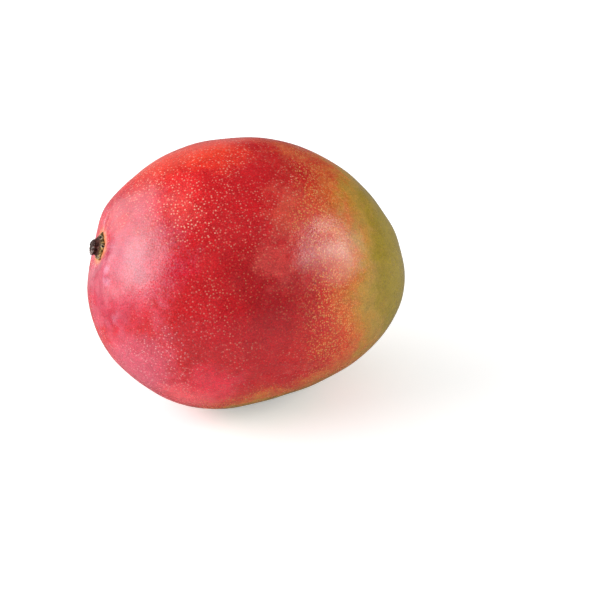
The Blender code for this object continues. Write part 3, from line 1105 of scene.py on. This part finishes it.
def direction_to(azimuth, elevation):
    """Unit vector from the fruit: azimuth 0 is -Y and 90 is +X, elevation is above the horizon."""
    turn, rise = np.radians(azimuth), np.radians(elevation)
    return Vector((np.sin(turn) * np.cos(rise), -np.cos(turn) * np.cos(rise), np.sin(rise)))


def aimed(obj, place, target):
    """Puts the camera or lamp at this place and turns its -Z towards the target."""
    obj.location = place
    obj.rotation_euler = (Vector(target) - Vector(place)).to_track_quat("-Z", "Y").to_euler()


camera = bpy.data.objects.new("camera", bpy.data.cameras.new("camera"))
bpy.context.scene.collection.objects.link(camera)
to_camera = direction_to(CAMERA_AZIMUTH, CAMERA_ELEVATION)
right = Vector((0, 0, 1)).cross(to_camera).normalized()
up = to_camera.cross(right)
target = Vector(fruit_middle) + right * AIM_RIGHT + up * AIM_UP
aimed(camera, Vector(fruit_middle) + to_camera * CAMERA_DISTANCE, target)
camera.data.lens = LENS
camera.data.sensor_width = SENSOR_WIDTH
bpy.context.scene.camera = camera
print("camera at", [round(side, 3) for side in camera.location])

# %% [markdown]
# ## Lights
#
# A plain studio with a window on each side. Each window is two lamps: a core and a wider, dimmer
# glow round it, so that its reflection in the waxy skin fades out instead of stopping at an
# edge. A last, faint lamp is the far wall, seen in the skin's upper edge. The room itself is
# white to the camera, but lights the fruit at half strength and is nearly dark to reflections,
# or it would fill in the shadows and wash out the reds.

# %% Lights
LAMP_DISTANCE = 0.8
ROOM_LIGHT = 0.5
ROOM_GLOSS = 0.03
# Azimuth, elevation, width and height as seen from the fruit, in degrees, and brightness.
LIGHTS = {
    "left window": (-95, 27, 42, 36, 3.8),
    "left window glow": (-118, 21, 73, 58, 2.6),
    "right window": (64, 26, 18, 20, 4.9),
    "right window glow": (62, 24, 40, 31, 2.5),
    "far wall": (-172, 10, 60, 40, 0.3),
}


def window(name, azimuth, elevation, width, height, radiance):
    """An oval lamp that looks this wide and high, and of this brightness, from the fruit.

    Its size is 2 x distance x tan(angle / 2), and its power pi x brightness x area, where an
    oval's area is pi/4 of width times height.
    """
    lamp = bpy.data.lights.new(name, "AREA")
    lamp.shape = "ELLIPSE"
    lamp.size, lamp.size_y = 2 * LAMP_DISTANCE * np.tan(np.radians([width, height]) / 2)
    lamp.energy = radiance * np.pi * lamp.size * lamp.size_y * np.pi / 4
    holder = bpy.data.objects.new(name, lamp)
    bpy.context.scene.collection.objects.link(holder)
    holder.visible_camera = False
    place = Vector(fruit_middle) + direction_to(azimuth, elevation) * LAMP_DISTANCE
    aimed(holder, place, fruit_middle)
    print(name, round(lamp.energy, 2), "W")


for light_name, light in LIGHTS.items():
    window(light_name, *light)

# %% The room
world = bpy.data.worlds.new("studio")
world.use_nodes = True
room = world.node_tree
ray_kind = add(room, "ShaderNodeLightPath").outputs
as_light = room.nodes["Background"]
as_light.inputs["Color"].default_value = (1, 1, 1, 1)
strength = mapped(room, ray_kind["Is Glossy Ray"], 0, 1, ROOM_LIGHT, ROOM_GLOSS)
room.links.new(strength, as_light.inputs["Strength"])
as_seen = add(room, "ShaderNodeBackground", {"Color": (1, 1, 1, 1)})
choice = {
    0: ray_kind["Is Camera Ray"],
    1: as_light.outputs["Background"],
    2: as_seen.outputs["Background"],
}
both = add(room, "ShaderNodeMixShader", choice).outputs["Shader"]
room.links.new(both, room.nodes["World Output"].inputs["Surface"])
bpy.context.scene.world = world
bpy.context.scene.view_settings.view_transform = "Standard"
print("room light", ROOM_LIGHT, "and", ROOM_GLOSS, "in reflections")

# %% [markdown]
# ## The floor
#
# The fruit lies on a white sheet that seems to have no end. A curved backdrop would do that for
# one side. A large flat plane does it for every side, if it also glows a little for the camera,
# and more so further out, where it melts into the white room. Reflections in the fruit see it
# as grey, which keeps its underside dark. It is staging, not part of the object.

# %% Floor
FLOOR_REACH = 3.0
FLOOR_WHITE = (0.9, 0.9, 0.9, 1)
FLOOR_GREY = (0.3, 0.3, 0.3, 1)
FLOOR_ROUGHNESS = 0.9
# Strength of the glow near the fruit and far out, and the two distances in metres.
GLOW_NEAR = 0.35
GLOW_FAR = 1.0
NEAR = 0.25
FAR = 0.6


def sheet_material():
    """White paper: brighter to the camera by a glow that grows with distance from the fruit."""
    made = bpy.data.materials.new("paper")
    made.use_nodes = True
    tree = made.node_tree
    ray_kind = add(tree, "ShaderNodeLightPath").outputs
    paper = tree.nodes["Principled BSDF"]
    paper.inputs["Roughness"].default_value = FLOOR_ROUGHNESS
    seen = mixed(tree, ray_kind["Is Glossy Ray"], FLOOR_WHITE, FLOOR_GREY)
    tree.links.new(seen, paper.inputs["Base Color"])
    here = add(tree, "ShaderNodeTexCoord").outputs["Object"]
    reach = vector_maths(tree, "LENGTH", here, output="Value")
    glow = mapped(tree, reach, NEAR, FAR, GLOW_NEAR, GLOW_FAR)
    glow = product(tree, ray_kind["Is Camera Ray"], glow)
    lift = add(tree, "ShaderNodeEmission", {"Strength": glow})
    layers = {0: paper.outputs["BSDF"], 1: lift.outputs["Emission"]}
    lit = add(tree, "ShaderNodeAddShader", layers).outputs["Shader"]
    tree.links.new(lit, tree.nodes["Material Output"].inputs["Surface"])
    return made


floor_mesh = bpy.data.meshes.new("floor")
floor_signs = [(-1, -1), (1, -1), (1, 1), (-1, 1)]
floor_corners = [(FLOOR_REACH * x, FLOOR_REACH * y, 0) for x, y in floor_signs]
floor_mesh.from_pydata(floor_corners, [], [(0, 1, 2, 3)])
floor_mesh.materials.append(sheet_material())
floor = bpy.data.objects.new("floor", floor_mesh)
bpy.context.scene.collection.objects.link(floor)
print("floor", 2 * FLOOR_REACH, "m across")
